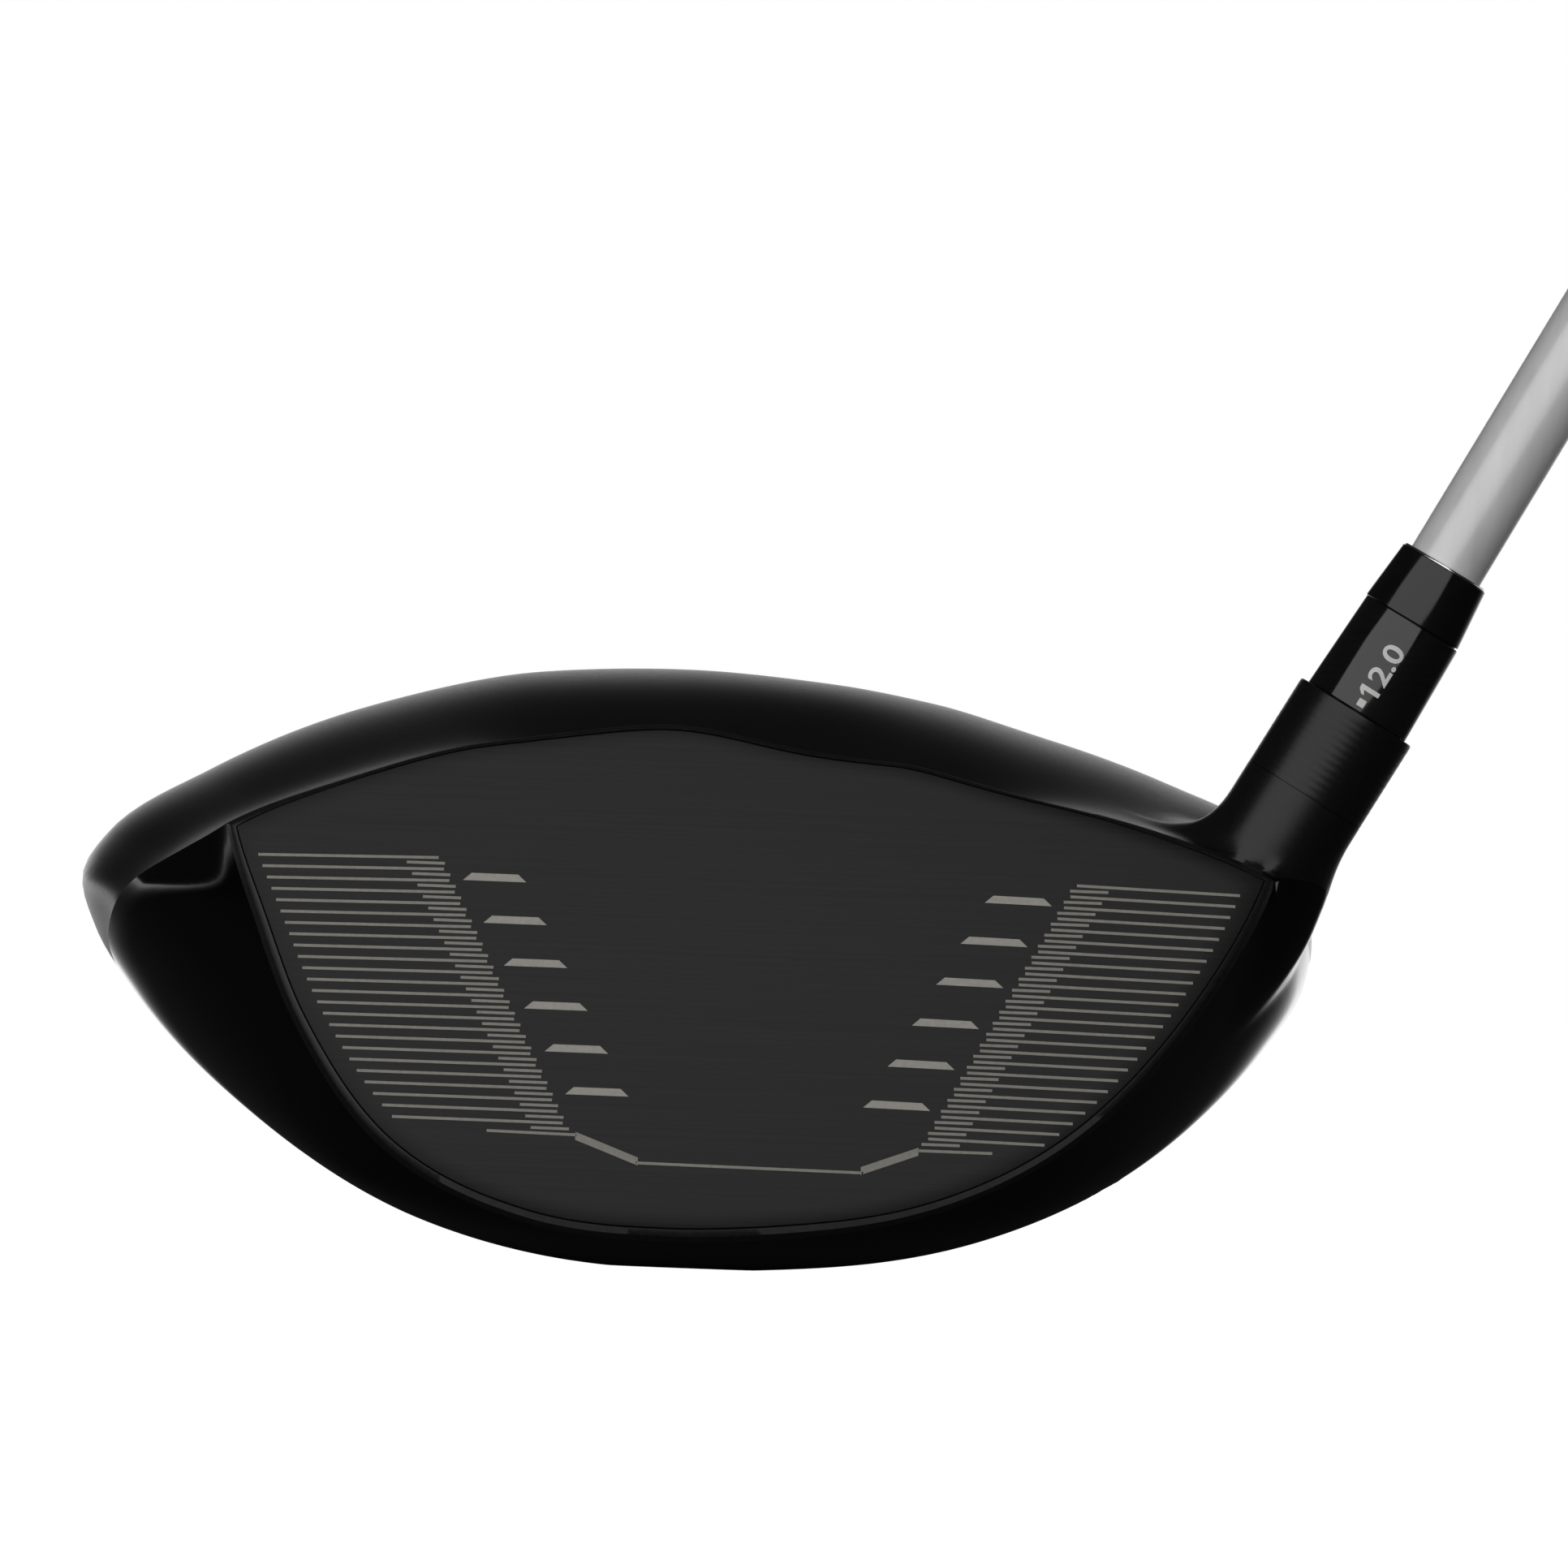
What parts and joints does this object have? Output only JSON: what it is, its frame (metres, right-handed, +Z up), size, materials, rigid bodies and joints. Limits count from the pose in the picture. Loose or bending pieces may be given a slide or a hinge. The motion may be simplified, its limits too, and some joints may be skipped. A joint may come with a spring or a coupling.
{
  "type": "golf driver",
  "caption": "Right-handed golf driver: hollow head with face insert and movable sole weight, adjustable hosel sleeve, tapered shaft and rubber grip.",
  "frame": {"origin": "the point of the sole that rests on the ground when the club is held at address", "axes": "+X from toe to heel, +Y away from the target (the face looks towards -Y), +Z up"},
  "size_m": [0.6743, 0.1194, 1.0204],
  "materials": {
    "satin_black": "satin",
    "face_grey": "brushed",
    "crown_black": "satin",
    "gloss_black": "gloss",
    "bright_steel": "turned",
    "glue": "smooth",
    "weight_steel": "turned",
    "dark_steel": "black oxide",
    "nylon": "moulded",
    "cog_aluminium": "turned",
    "sleeve_black": "anodised",
    "ferrule_black": "polished",
    "shaft_silver": "silver paint",
    "plug_brass": "turned",
    "tape": "matte",
    "grip_rubber": "moulded",
    "cap_rubber": "moulded"
  },
  "bodies": {
    "head": {"front_frame": "satin_black", "face_plate": "face_grey", "crown_panel": "crown_black", "sole_shell": "gloss_black", "thread_insert": "bright_steel", "hot_melt": "glue"},
    "weight": {"sole_weight": "weight_steel", "weight_washer": "bright_steel"},
    "weight_screw": {"weight_screw": "dark_steel"},
    "seat_washer": {"screw_washer": "bright_steel"},
    "hosel_screw": {"hosel_screw": "dark_steel", "screw_retainer": "nylon"},
    "index_ring": {"cog_ring": "cog_aluminium"},
    "shaft_assembly": {"hosel_sleeve": "sleeve_black", "ferrule": "ferrule_black", "shaft": "shaft_silver", "tip_weight": "plug_brass", "grip_tape": "tape", "grip": "grip_rubber", "grip_cap": "cap_rubber"}
  },
  "joints": [
    {"name": "sleeve_lift", "type": "slide", "parent": "head", "child": "index_ring", "axis": [0.5, 0, 0.866], "range_m": [0, 0.04]},
    {"name": "loft_index", "type": "hinge", "parent": "index_ring", "child": "shaft_assembly", "pos_m": [0.06965, -0.003, 0.0624], "axis": [0.5, 0, 0.866], "continuous": true},
    {"name": "hosel_screw_out", "type": "slide", "parent": "head", "child": "seat_washer", "axis": [-0.5, 0, -0.866], "range_m": [0, 0.0082]},
    {"name": "hosel_screw_turn", "type": "hinge", "parent": "seat_washer", "child": "hosel_screw", "pos_m": [0.06965, -0.003, 0.0624], "axis": [-0.5, 0, -0.866], "range_deg": [0, 3700]},
    {"name": "weight_out", "type": "slide", "parent": "head", "child": "weight", "axis": [0, 0.2073, -0.9783], "range_m": [0, 0.008]},
    {"name": "weight_screw_turn", "type": "hinge", "parent": "weight", "child": "weight_screw", "pos_m": [0, 0.06, 0.00514], "axis": [0, 0.2073, -0.9783], "range_deg": [0, 4120]}
  ],
  "couplings": [
    {"joint": "hosel_screw_turn", "follows": "hosel_screw_out", "rad_per_m": 7854},
    {"joint": "weight_screw_turn", "follows": "weight_out", "rad_per_m": 8976}
  ]
}
